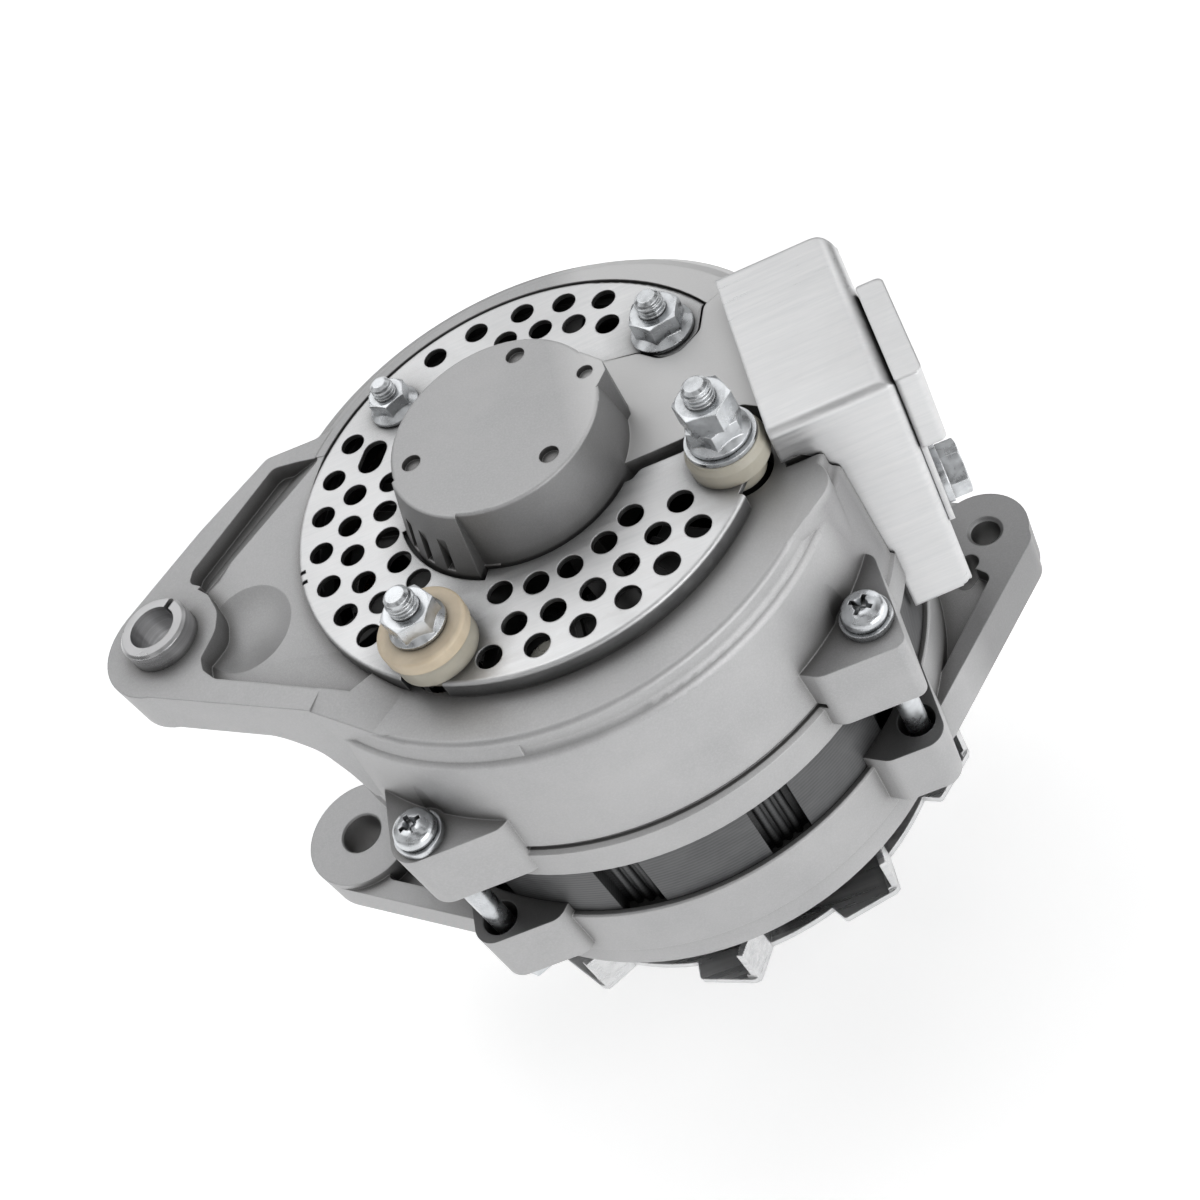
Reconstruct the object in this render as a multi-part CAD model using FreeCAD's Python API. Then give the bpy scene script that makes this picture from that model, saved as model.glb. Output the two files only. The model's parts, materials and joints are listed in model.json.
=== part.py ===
import FreeCAD, Part
import math
import os
from FreeCAD import Vector as V

os.makedirs("parts", exist_ok=True)

# ---------------------------------------------------------------------------
# Claw-pole alternator with a side regulator. Millimetres.
# Everything is drawn about the rotor axis (x = y = 0) with z = 0 a little above the
# perforated cover plate, rear end up; each piece is then shifted so that the row's origin is the
# middle of the front pivot ear's bore.
# ---------------------------------------------------------------------------
PIVOT_X, PIVOT_Y = -82.8, -5.0     # pivot bolt axis
EAR_TOP = -86.5                    # rear-facing face of the front pivot ear
EAR_THICK = 11.0
EAR_R = 14.0
PIVOT_BORE_R = 5.1                 # 10 mm bolt, clearance
BUSH_R = 7.7                       # split bush, outside
ARM_TOP = -2.2                     # rear face of the pivot foot
ARM_BOT = -13.8
ADJ_X, ADJ_Y = 80.7, 5.6           # adjusting bolt, M8 thread
ADJ_TOP, ADJ_BOT = -81.5, -94.2
ADJ_R = 3.4

PLATE_TOP = -2.1                   # perforated plate
PLATE_R = 51.1
PLATE_T = 1.2
PLATE_RIM = 4.3
PLATEAU = -6.5                     # machined face the plate's rim stands on
REAR_LIP = -50.3                   # rear housing meets the stator
FRONT_LIP = -69.4                  # front housing meets the stator
FRONT_FACE = -94.2
RING_R = 66.0
REGISTER_R = 64.45
CORE_R = 64.4
BORE_R = 46.0                      # stator bore
ROTOR_R = 45.6
CAP_R, CAP_TOP = 22.3, 11.8

BOLT_R = 70.3                      # circle of the four through bolts
BOLT_A = (232.25, 318.35, 52.25, 138.35)
SEAT = -29.6                       # head seat of the through bolts
FRONT_SEAT = -82.0                 # nut faces of the front lugs
REAR_LUG_BOT = -46.7
FRONT_LUG_TOP = -66.0

T1 = (35.4, 21.0)                  # cover stud
T2 = (40.7, -19.7)                 # output stud
T3 = (-23.2, -36.5)                # second insulated stud
T4 = (-24.8, 33.0)                 # small cover stud

REG_X0, REG_X1 = 49.0, 73.9        # regulator cover
REG_Y0, REG_Y1 = -23.6, 22.4
REG_TOP = 3.2
SHEET = 1.0

REG_SCREWS = ((-16.0, -33.5), (12.6, -37.0))   # y, z of their axes
REG_LEG = -60.6                    # lower end of the cover's side leg

FAN_Z0, FAN_Z1 = -111.5, -109.7    # fan disc
FAN_BLADE_R, FAN_BLADE_TOP = 65.8, -98.4
PULLEY_MID = -124.5                # belt line
PULLEY_R = 35.0

SHIFT = V(-PIVOT_X, -PIVOT_Y, -(EAR_TOP - EAR_THICK / 2))


# ---------------------------------------------------------------- helpers
def pts2wire(pts, plane="xy", z=0.0):
    """Closed outline of straight runs; a third number rounds that corner."""
    def to3(a, b):
        return V(a, b, z) if plane == "xy" else V(a, z, b)

    n = len(pts)
    starts, ends, arcs = [], [], []
    for i in range(n):
        p = V(pts[i][0], pts[i][1], 0)
        r = pts[i][2] if len(pts[i]) > 2 else 0.0
        a = V(pts[i - 1][0], pts[i - 1][1], 0) - p
        b = V(pts[(i + 1) % n][0], pts[(i + 1) % n][1], 0) - p
        if r <= 0 or a.Length < 1e-9 or b.Length < 1e-9:
            starts.append(p), ends.append(p), arcs.append(None)
            continue
        a.normalize(), b.normalize()
        ang = a.getAngle(b)
        if math.pi - ang < 1e-4:
            starts.append(p), ends.append(p), arcs.append(None)
            continue
        t = r / math.tan(ang / 2)
        bis = a + b
        bis.normalize()
        c = p + bis * (r / math.sin(ang / 2))
        starts.append(p + a * t), ends.append(p + b * t), arcs.append(c - bis * r)
    edges = []
    for i in range(n):
        if arcs[i] is not None:
            edges.append(Part.Arc(to3(starts[i].x, starts[i].y), to3(arcs[i].x, arcs[i].y), to3(ends[i].x, ends[i].y)).toShape())
        e, s = ends[i], starts[(i + 1) % n]
        if (e - s).Length > 1e-6:
            edges.append(Part.makeLine(to3(e.x, e.y), to3(s.x, s.y)))
    return Part.Wire(edges)


def prism(pts, z0, z1):
    return Part.Face(pts2wire(pts, "xy", z0)).extrude(V(0, 0, z1 - z0))


def rev(pts, a0=0.0, sweep=360.0):
    """Body of revolution about the shaft axis; points are (radius, z[, corner radius])."""
    s = Part.Face(pts2wire(pts, "xz")).revolve(V(0, 0, 0), V(0, 0, 1), sweep)
    if a0:
        s.rotate(V(0, 0, 0), V(0, 0, 1), a0)
    return s


def side_prism(pts, y0, y1):
    """Outline in x,z drawn out along y."""
    return Part.Face(pts2wire(pts, "xz", y0)).extrude(V(0, y1 - y0, 0))


def cyl(r, z0, z1, x=0.0, y=0.0):
    return Part.makeCylinder(r, z1 - z0, V(x, y, z0))


def tube(ro, ri, z0, z1, x=0.0, y=0.0):
    return cyl(ro, z0, z1, x, y).cut(cyl(ri, z0 - 1, z1 + 1, x, y))


def box(x0, x1, y0, y1, z0, z1):
    return Part.makeBox(x1 - x0, y1 - y0, z1 - z0, V(x0, y0, z0))


def cone(r0, r1, z0, z1, x=0.0, y=0.0):
    return Part.makeCone(r0, r1, z1 - z0, V(x, y, z0))


def sector(r0, r1, a0, a1, z0, z1):
    return rev([(r0, z0), (r1, z0), (r1, z1), (r0, z1)], a0, a1 - a0)


def xcyl(r, x0, x1, y, z):
    return Part.makeCylinder(r, x1 - x0, V(x0, y, z), V(1, 0, 0))


def at(shape, x, y, z=0.0, turn=0.0):
    s = shape.copy()
    if turn:
        s.rotate(V(0, 0, 0), V(0, 0, 1), turn)
    s.translate(V(x, y, z))
    return s


def spin(shape, deg):
    s = shape.copy()
    s.rotate(V(0, 0, 0), V(0, 0, 1), deg)
    return s


def polar(r, deg):
    return r * math.cos(math.radians(deg)), r * math.sin(math.radians(deg))


def fuse(parts):
    s = parts[0].fuse(parts[1:]) if len(parts) > 1 else parts[0]
    return s.removeSplitter()


def cut(s, tools):
    return s.cut(tools) if tools else s


def hexagon(af, z0, z1, turn=0.0):
    r = af / math.sqrt(3)
    s = prism([(r * math.cos(math.radians(60 * i + turn)), r * math.sin(math.radians(60 * i + turn))) for i in range(6)], z0, z1)
    ch = 0.13 * af
    h = z1 - z0
    dome = rev([(0, z0), (r + 1, z0), (r + 1, z1 - 0.5 * ch), (af / 2 * 0.97, z1), (0, z1)]) if h > ch else None
    return s.common(dome) if dome else s


def hex_nut(af, bore, z0, z1, turn=0.0):
    return hexagon(af, z0, z1, turn).cut(cyl(bore, z0 - 1, z1 + 1))


def flange_nut(af, bore, rf, z0, z1, turn=0.0):
    fl = rev([(bore, z0), (rf - 0.15, z0), (rf, z0 + 0.35), (rf, z0 + 1.0), (af / 2 * 0.98, z0 + 2.3), (bore, z0 + 2.3)])
    return fuse([fl, hex_nut(af, bore, z0 + 0.5, z1, turn)])


def thread(r, z0, z1, pitch):
    """Stud with the ridges of its thread, rounded at the outer end."""
    d = 0.4 * pitch
    n = int((z1 - z0 - 1.0) / pitch)
    pts = [(0, z0), (r - d, z0)]
    z = z0
    for i in range(n):
        pts += [(r - d, z + pitch * 0.08), (r, z + pitch * 0.35), (r, z + pitch * 0.73), (r - d, z + pitch)]
        z += pitch
    pts += [(r - d, z1 - 0.6), (r - d - 0.7, z1), (0, z1)]
    return rev(pts)


def ring_of_balls(rc, rb, n, zc):
    out = []
    for i in range(n):
        x, y = polar(rc, 360.0 / n * i + 7)
        out.append(Part.makeSphere(rb, V(x, y, zc)))
    return out


def deep_groove_bearing(bore_r, out_r, width, zc, rc, rb, n):
    """Outer race, inner race, balls and cage, each on its own."""
    g = rb + 0.07
    z0, z1 = zc - width / 2, zc + width / 2
    lo, hi = rc - 0.47 * rb, rc + 0.47 * rb
    groove = Part.makeTorus(rc, g, V(0, 0, zc))
    outer = rev([(hi, z0), (out_r, z0, 0.5), (out_r, z1, 0.5), (hi, z1)]).cut(groove)
    inner = rev([(bore_r, z0, 0.4), (lo, z0), (lo, z1), (bore_r, z1, 0.4)]).cut(groove)
    balls = ring_of_balls(rc, rb, n, zc)
    pockets = [spin(xcyl(rb + 0.12, rc - 4, rc + 4, 0, zc), 360.0 / n * i + 7) for i in range(n)]
    h = rb + 1.0
    cage = rev([(rc - 0.32 * rb, zc - h), (rc + 0.32 * rb, zc - h), (rc + 0.32 * rb, zc + h), (rc - 0.32 * rb, zc + h)]).cut(pockets)
    return outer, inner, balls, cage


def hull2(c1, r1, c2, r2, z0, z1):
    """Two circles joined by their outer tangents."""
    dx, dy = c2[0] - c1[0], c2[1] - c1[1]
    L = math.hypot(dx, dy)
    base = math.atan2(dy, dx)
    off = math.acos((r1 - r2) / L)
    q = []
    for s in (1, -1):
        a = base + s * off
        q.append(((c1[0] + r1 * math.cos(a), c1[1] + r1 * math.sin(a)), (c2[0] + r2 * math.cos(a), c2[1] + r2 * math.sin(a))))
    web = prism([q[0][0], q[0][1], q[1][1], q[1][0]], z0, z1)
    return fuse([cyl(r1, z0, z1, *c1), cyl(r2, z0, z1, *c2), web])


NODES = {}


def node(name, shape):
    NODES[name] = shape if isinstance(shape, list) else [shape]


# ---------------------------------------------------------------- rear housing
RIM_REACH = ((0, 57.5), (20, 57.3), (40, 55.9), (62, 54.1), (84, 52.6), (105, 52.2), (126, 52.2), (147, 52.2), (168, 52.0), (189, 51.8), (210, 51.6),
             (231, 51.6), (252, 51.8), (273, 52.2), (294, 53.0), (315, 54.5), (338, 56.5))


def raised_rim():
    """Far side of the rear face: a crest level with the plate, wider towards the regulator."""
    wires = []
    for z, add, cap in ((-1.9, 1.0, 99), (-2.9, 3.1, 99), (-6.2, 6.4, 62.6), (-11.0, 7.6, 62.8), (-17.0, 20, 63.2)):
        pts = []
        for a, reach in RIM_REACH:
            x, y = polar(min(reach + add, cap), a)
            pts.append(V(x, y, z))
        c = Part.BSplineCurve()
        c.interpolate(pts, PeriodicFlag=True)
        wires.append(Part.Wire(c.toShape()))
    return Part.makeLoft(wires, True, True)


def rear_housing():
    body = rev([(0, PLATEAU), (61.7, PLATEAU, 1.2), (61.9, -10.6, 2.0), (63.5, -11.8, 2.0),
                (65.2, -40.9), (66.0, -41.7), (66.0, REAR_LIP + 0.4), (65.6, REAR_LIP), (0, REAR_LIP)])
    # raised rim round the far half, level with the cover plate, running into the pivot foot
    rim = raised_rim().common(sector(20, 90, -14, 230, -30, 10))
    # bridge from the centre boss to the regulator's seat
    bridge = prism([(10, -11.0), (33, -11.0, 2), (37.5, -8.8, 2), (46, -8.8, 2), (50.5, -12.5, 2), (51.5, -20.6, 1), (58.6, -20.6, 6),
                    (62.0, -8.0, 8), (62.0, 12.0, 8), (58.0, 22.6, 6), (49.5, 24.5, 4), (45.0, 22.5, 3), (42.6, 15.8, 3), (37.2, 12.2, 4), (33.0, 12.8, 4), (29.2, 16.9, 2),
                    (22.0, 18.9, 1), (10, 18.9)], -12.0, -1.5)
    seat = prism([(40, -20.6), (58.6, -20.6, 5), (62.5, -8.0, 8), (62.5, 12.0, 8), (58.6, 22.2, 5), (40, 22.2)], -8.0, REG_TOP - SHEET)
    seat = seat.cut(box(30, 50.6, -40, 40, -9.0, 20))
    # centre boss that holds the rear bearing
    boss = rev([(0, -8.0), (24.2, -8.0), (23.6, -2.0), (22.3, CAP_TOP, 0.7), (0, CAP_TOP)])
    corner = prism([(14, 9), (20.5, 9.0), (24.3, 4.2, 0.6), (24.5, 1.2, 0.6), (22.0, -2.2), (14, -5)], -8.0, CAP_TOP - 0.01)
    lug = rev([(12, -8.0), (26.9, -8.0), (26.6, -2.0, 0.5), (22.8, CAP_TOP - 0.02, 0.6), (12, CAP_TOP - 0.02)], 190, 52)
    # pivot foot
    foot = [(-92.4, 5.3), (-74.0, 22.0), (-56.7, 35.4, 2.5), (-44.6, 34.8), (-34.0, 37.5), (-8, 30), (-8, -40), (-30, -50.4), (-38.4, -47.8),
            (-44.8, -43.2), (-51.6, -38.4, 16), (-62.9, -32.0), (-89.6, -16.8)]
    arm = fuse([prism(foot, ARM_BOT, ARM_TOP), cyl(EAR_R, ARM_BOT, ARM_TOP, PIVOT_X, PIVOT_Y)])
    gus = side_prism([(-76, ARM_BOT + 1), (-40, ARM_BOT + 1), (-40, -34), (-58, -34, 3), (-66, -18, 8)], -46, 38)
    # its flank runs down into the wall
    flank = side_prism([(-72, ARM_BOT + 0.9), (-63.5, ARM_BOT - 0.3, 10), (-57.6, -18.6, 7), (-55.6, -27.0), (-54.6, -36.0), (-30, -36.0), (-30, -5.0), (-72, -5.0)], -60, 0)
    flank = flank.common(prism(foot, -38, -4.6))
    blend = rev([(50.0, PLATEAU - 0.6), (58.0, PLATEAU - 0.6), (61.4, PLATEAU - 0.6, 2.0), (63.7, -15.0, 6), (64.3, -27.0), (50.0, -27.0)], 214, 44)
    gus = gus.common(prism([(p[0] * 1.0, p[1] * 0.86) if len(p) < 3 else (p[0], p[1] * 0.86, p[2]) for p in foot], -36, ARM_TOP - 2))
    # square lugs of the four through bolts
    lugs = []
    for i, a in enumerate(BOLT_A):
        x, y = polar(BOLT_R, a)
        sx, sy = (1 if x > 0 else -1), (1 if y > 0 else -1)
        dx, dy, run, back, rc = ((6.7, 5.4, 17.0, 6.0, 5.6), (5.4, 8.6, 12.0, 3.3, 2.2))[i % 2]
        ox, oy = x + sx * dx, y + sy * dy
        lugs.append(prism([(x - sx * run, oy, 4.6), (ox, oy, rc), (ox, y - sy * 15, 3), (sx * 30, sy * 24), (x - sx * (run + 5.0), oy - sy * back)], REAR_LUG_BOT, SEAT))
    # pad beside the regulator, and the rib below it
    pad = hull2((50.2, -29.4), 6.1, (44.0, -38.0), 3.5, -31.0, PLATEAU - 0.02)
    rib = hull2((49.7, -34.0), 1.3, (49.7, -35.4), 1.1, SEAT - 2, -13.0)
    side_seat = prism([(40, -20.8), (66.2, -20.8, 2), (66.2, 17.6, 3), (40, 17.6)], -46.0, -7.0)
    s = fuse([body, rim, bridge, seat, arm, flank, blend, gus, pad, rib, side_seat] + lugs)
    # inside
    cavity = rev([(0, REAR_LIP - 1), (REGISTER_R, REAR_LIP - 1), (REGISTER_R, -46.8), (60.3, -46.8), (60.3, -21.0, 5), (54.0, -12.2, 2), (0, -12.2)])
    cavity = cavity.cut(fuse([boss]))
    s = s.cut(cavity)
    opening = cyl(48.2, -14, 6)
    keep = fuse([bridge, seat])
    s = s.cut(opening.cut(fuse([keep, cyl(24.0, -15, 13)])))
    # spokes below the plate that carry the boss
    spokes = [spin(box(20, 50, -w / 2, w / 2, -12.0, -7.4), a) for a, w in ((126.9, 9), (204, 7), (246, 7), (288, 7), (70, 7))]
    stud_bosses = [cyl(6.2, -12.0, PLATE_TOP - PLATE_T, T4[0], T4[1]), cyl(6.2, -12.0, PLATE_TOP - PLATE_T, T1[0], T1[1]).cut(cyl(60, -20, 0).cut(cyl(50.0, -21, 1)))]
    hub = fuse([boss, corner, lug])
    flutes = [spin(box(24.4, 30, -1.1, 1.1, -1.4, 13), a) for a in (203, 215, 228)]
    hub = hub.cut(flutes)
    stud_bosses.append(prism([(30, 8), (46, 8), (49.5, 24.0), (44.0, 27.5), (31.0, 22.0)], -12.0, -7.4))
    s = fuse([s, hub] + spokes + stud_bosses)
    # recess for the cover plate (its rim stands in it)
    recess = tube(PLATE_R + 0.08, 47.0, PLATEAU, 12).cut(fuse([bridge, seat]))
    s = s.cut(recess)
    # ramp from the foot down to the plate's seat
    s = s.cut(slope_pocket([(-47.5, -33.0), (-57.0, -48.0), (-44.0, -66.0), (-14.0, -66.0), (-14.0, -30.0), (-38.0, -30.0)], (-50.2, -36.2), (0.656, -0.755), 14.0, 4.29, ARM_TOP))
    # bearing pocket, relief and the way in for the shaft
    s = s.cut(fuse([cyl(17.5, -14.0, 4.5), cyl(12.0, -13, 7.6)]))
    # four cast dimples in the end of the boss
    for x, y in ((7.4, 16.1), (20.4, 3.0), (9.9, -14.5), (-17.8, -1.1)):
        s = s.cut(cyl(2.05 if x != 20.4 else 1.7, CAP_TOP - 1.3, CAP_TOP + 1, x, y))
    # studs of the cover, thread holes
    s = s.cut([cyl(3.0, -15, 5, *T1), cyl(2.5, -15, 5, *T4)])
    # output stud and second stud pass clear
    s = s.cut([cyl(7.2, -20, PLATE_TOP - PLATE_T, *T2), cyl(8.7, PLATE_TOP - PLATE_T - 1, 6, *T2), cyl(7.3, -20, 5, *T3)])
    # window for the brush holder
    s = s.cut(box(50, 70, -9.2, 9.2, -32.4, -10.6))
    # slot that takes the edge of the regulator cover, threads of the regulator's screws
    s = s.cut([box(57.0, 80, REG_Y0 - 0.4, REG_Y0 + SHEET + 0.3, REAR_LIP - 1, 5), box(49.5, 80, REG_Y0 - 0.4, REG_Y0 + SHEET + 0.3, -16.0, 5)])
    s = s.cut([xcyl(3.02, 55.0, 70, *p) for p in REG_SCREWS])
    # groove round the wall above the flange, between the lugs
    s = s.cut(rev([(64.3, -39.4), (67, -39.4), (67, -40.9), (64.3, -40.9)], 247, 66))
    # pockets of the foot: a long one beside the far edge, a scalloped one round the bush
    s = s.cut(slope_pocket([(-43.8, 28.6, 0.8), (-49.5, 30.3, 2), (-55.4, 31.6, 2.5), (-76.0, 11.4, 3), (-76.9, 8.2, 2), (-73.5, 5.4, 2), (-68.0, 5.4, 6), (-50.0, 22.5, 6)],
                           (-59.2, 14.1), (-0.68, 0.73), 7.5, 4.0, ARM_TOP))
    left = [(-74.9, 5.5), (-72.4, 2.6, 2.0), (-70.4, -3.0, 6), (-71.0, -8.0, 6), (-74.6, -13.8, 1.6), (-74.2, -17.2, 2.0), (-71.5, -20.8, 3)]
    s = s.cut(slope_pocket(left + [(-63.2, -25.6), (-49.3, -33.9, 3), (-43.0, -36.6), (-30.0, -30.0), (-30.0, 26.0), (-45.2, 30.0), (-61.7, 16.8), (-71.0, 8.0)],
                           (-46.0, 27.0), (-0.29, -0.957), 48.0, 4.29, ARM_TOP))
    dish = Part.makeSphere(24.0, V(-66.0, -9.5, 24.0 - 8.1))
    s = s.cut(dish.common(prism(left + [(-63.2, -25.6), (-50.0, -26.0), (-50.0, 10.0), (-68.0, 7.0)], -10.0, ARM_TOP + 1)))
    # bolt holes and bush bore
    holes = [cyl(2.75, REAR_LIP - 1, SEAT + 1, *polar(BOLT_R, a)) for a in BOLT_A]
    holes += [cyl(6.3, SEAT, -13.0, *polar(BOLT_R, a)) for a in BOLT_A]
    holes.append(cyl(BUSH_R + 0.02, ARM_BOT - 1, ARM_TOP + 1, PIVOT_X, PIVOT_Y))
    return s.cut(holes)


def slope_pocket(outline, start, direction, length, depth, top):
    """Cutter: outline, open upward, its floor falling from the start line along the direction."""
    d = V(direction[0], direction[1], 0)
    d.normalize()
    p = V(-d.y, d.x, 0)
    o = V(start[0], start[1], top)
    far = length + 40.0
    a = o - d * 2.0 + V(0, 0, 2.0 * depth / length)
    b = o + d * length - V(0, 0, depth)
    c = o + d * far - V(0, 0, depth)
    e = V(c.x, c.y, top + 3)
    f = V(a.x, a.y, top + 3)
    w = Part.makePolygon([v - p * 80 for v in (a, b, c, e, f, a)])
    solid = Part.Face(w).extrude(p * 160)
    return solid.common(prism(outline, top - depth - 1, top + 2))


# ---------------------------------------------------------------- front housing
def front_housing():
    ring = rev([(59.8, FRONT_LIP), (65.4, FRONT_LIP), (65.8, FRONT_LIP - 0.4), (65.8, -85.8), (65.3, -86.3), (65.3, FRONT_FACE + 1.0), (64.3, FRONT_FACE), (0, FRONT_FACE), (0, -89.6), (54.0, -89.6, 4), (59.8, -83.0)], 33)
    hub = rev([(0, -97.2), (24.6, -97.2, 1.0), (26.0, -89.0), (26.0, -83.5, 0.6), (0, -83.5)])
    lugs = []
    for i, a in enumerate(BOLT_A):
        x, y = polar(BOLT_R, a)
        sx, sy = (1 if x > 0 else -1), (1 if y > 0 else -1)
        dx, dy, run, back = ((6.0, 5.4, 13.0, 6.0), (4.9, 7.1, 8.0, 3.3))[i % 2]
        ox, oy = x + sx * dx, y + sy * dy
        lugs.append(prism([(x - sx * run, oy, 4.0), (ox, oy, 4.6), (ox, y - sy * 15, 3), (sx * 30, sy * 24), (x - sx * (run + 5.0), oy - sy * back)], FRONT_SEAT, FRONT_LUG_TOP))
    # pivot ear on its web
    px, py = PIVOT_X, PIVOT_Y
    bot = EAR_TOP - EAR_THICK
    ear = fuse([cyl(EAR_R, bot, EAR_TOP, px, py), cyl(8.6, bot - 4.4, bot + 1, px, py),
                prism([(px + 3, py - 12.6), (-51.0, -39.8, 3), (-40, -40), (-40, 20), (-58.0, 27.5, 5), (px + 4, py + 13.3)], bot + 0.8, bot + 5.0),
                hull2((px, py), EAR_R, (-49.8, -39.0), 4.0, bot, EAR_TOP - 2.1).cut(
                    prism([(-77.6, -19.3, 2), (-50.0, -37.8), (-30, -40), (-30, 40), (px + 13.0, py + 12.0, 3), (px + 6.0, py)], bot - 2, EAR_TOP + 2)),
                prism([(px + 3, py + 13.6), (px + 9, py + 12.2), (-57, 27.5), (-50, 38), (-60.5, 31.0, 3)], bot + 0.5, EAR_TOP - 1.5)])
    # adjusting ear: boss, two ribs and a thin web between them
    ax, ay = ADJ_X, ADJ_Y
    boss = cyl(10.6, ADJ_BOT, ADJ_TOP, ax - 0.6, ay + 0.4)
    web = prism([(ax - 3, ay + 10.6), (ax, ay), (ax + 5.5, ay - 8.4), (57.0, -35.0), (50, -38), (50, 30), (60, 27.0, 5)], ADJ_BOT, -85.2)
    rib_a = hull2((ax + 3.4, ay - 4.6), 5.6, (55.5, -32.4), 3.2, ADJ_BOT, ADJ_TOP).cut(
        prism([(ax - 2.6, ay - 12.5, 2), (59.0, -28.0, 1), (40, -28), (40, 3), (ax - 6, ay - 8)], -85.2, 0))
    rib_b = hull2((ax - 3.0, ay + 6.8), 4.0, (58.5, 26.0), 3.4, ADJ_BOT, ADJ_TOP - 1.0)
    s = ring.fuse(lugs)
    s = s.fuse([hub, ear])
    s = s.fuse([fuse([boss, web, rib_a, rib_b])])
    inside = rev([(0, -89.6), (54.0, -89.6, 4), (59.8, -83.0), (59.8, -72.9), (REGISTER_R, -72.9), (REGISTER_R, -60), (0, -60)])
    s = s.cut(inside.cut(rev([(0, -97.2), (24.6, -97.2, 1.0), (26.0, -89.0), (26.0, -83.5, 0.6), (0, -83.5)])))
    # cooling windows in the end wall, two rows
    wins = []
    for i in range(12):
        a = 15 + 30 * i
        wins.append(spin(prism([(30.5, -5.4, 2), (47.5, -9.2, 2.5), (50.0, 0.0), (47.5, 9.2, 2.5), (30.5, 5.4, 2)], FRONT_FACE - 1, -88), a))
    s = s.cut(wins)
    # drain and hand pocket beside the adjusting ear
    s = s.cut(hull2((72.4, -3.2), 2.2, (74.8, -1.2), 2.2, -99, -80))
    # bearing seat, open to the inside; shaft opening in front
    s = s.cut(fuse([cyl(20.0, -95.5, -80), cyl(14.2, -99, -80)]))
    # retaining screws of the bearing plate
    s = s.cut([cyl(1.6, -92.0, -80, *polar(23.2, 45 + 90 * i)) for i in range(4)])
    # bolt holes, larger pockets at the stator side, nut flats in front
    holes = []
    for a in BOLT_A:
        x, y = polar(BOLT_R, a)
        holes.append(cyl(2.75, -100, -60, x, y))
        holes.append(cyl(4.0, FRONT_LUG_TOP - 8.0, -60, x, y))
    # pivot bore, eased at its mouth; adjusting thread, eased at its mouth
    holes.append(cyl(PIVOT_BORE_R, -110, -80, px, py))
    holes.append(cone(PIVOT_BORE_R, PIVOT_BORE_R + 0.4, EAR_TOP - 0.4, EAR_TOP + 0.001, px, py))
    holes.append(cyl(ADJ_R, -110, -70, ax, ay))
    holes.append(cone(ADJ_R, ADJ_R + 0.8, ADJ_TOP - 0.8, ADJ_TOP + 0.001, ax, ay))
    return s.cut(holes)


# ---------------------------------------------------------------- stator
def stator_core():
    s = tube(CORE_R, BORE_R, -72.9, -46.8)
    slot = fuse([prism([(46.9, -1.9), (56.8, -2.2, 1.0), (56.8, 2.2, 1.0), (46.9, 1.9)], -74, -46), box(45, 47.2, -1.0, 1.0, -74, -46)])
    tools = [spin(slot, 10 * i) for i in range(36)]
    notch = box(60.8, 66, -4.9, 4.9, -74, -46)
    notch = notch.cut([cyl(0.9, -75, -45, 60.8, -2.6), cyl(0.9, -75, -45, 60.8, 0.0), cyl(0.9, -75, -45, 60.8, 2.6)])
    tools += [spin(notch, 288.8 + 30 * i) for i in range(12)]
    return s.cut(tools)


def stator_winding():
    top = rev([(48.4, -46.5), (57.0, -46.5), (58.0, -43.0, 2), (57.6, -35.5, 3.2), (51.5, -33.5, 3.0), (48.6, -36.0, 2)])
    bot = rev([(48.4, -73.2), (57.0, -73.2), (58.0, -76.5, 2), (57.2, -84.0, 3.0), (51.5, -85.6, 3.0), (48.6, -83.0, 2)])
    cuts = []
    for i in range(18):
        for z0, z1 in ((-43.5, -30), (-88, -76.5)):
            b = box(46, 60, -0.35, 0.35, z0, z1)
            cuts.append(spin(b, 20 * i + 5))
    bars = [spin(prism([(48.0, -1.55), (56.3, -1.8, 0.7), (56.3, 1.8, 0.7), (48.0, 1.55)], -74.0, -46.0), 10 * i) for i in range(36)]
    return fuse([top.cut(cuts), bot.cut(cuts)] + bars)


# ---------------------------------------------------------------- cover plate
HOLES_OUT = (56.6, 68.7, 81.1, 95.0, 108.2, 142.1, 154.5, 166.9, 179.5, 191.9, 204.3, 215.6, 252.9, 265.2, 276.9, 289.2, 301.2, 313.0)
HOLES_MID = (50.9, 63.1, 74.8, 86.9, 160.8, 173.3, 185.6, 198.4, 210.0, 259.0, 270.8, 283.1, 294.5, 307.0, 318.6)
HOLES_IN = (157.0, 171.6, 185.8, 200.9, 215.1, 252.8, 266.9, 280.3, 295.0, 308.7)


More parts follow.
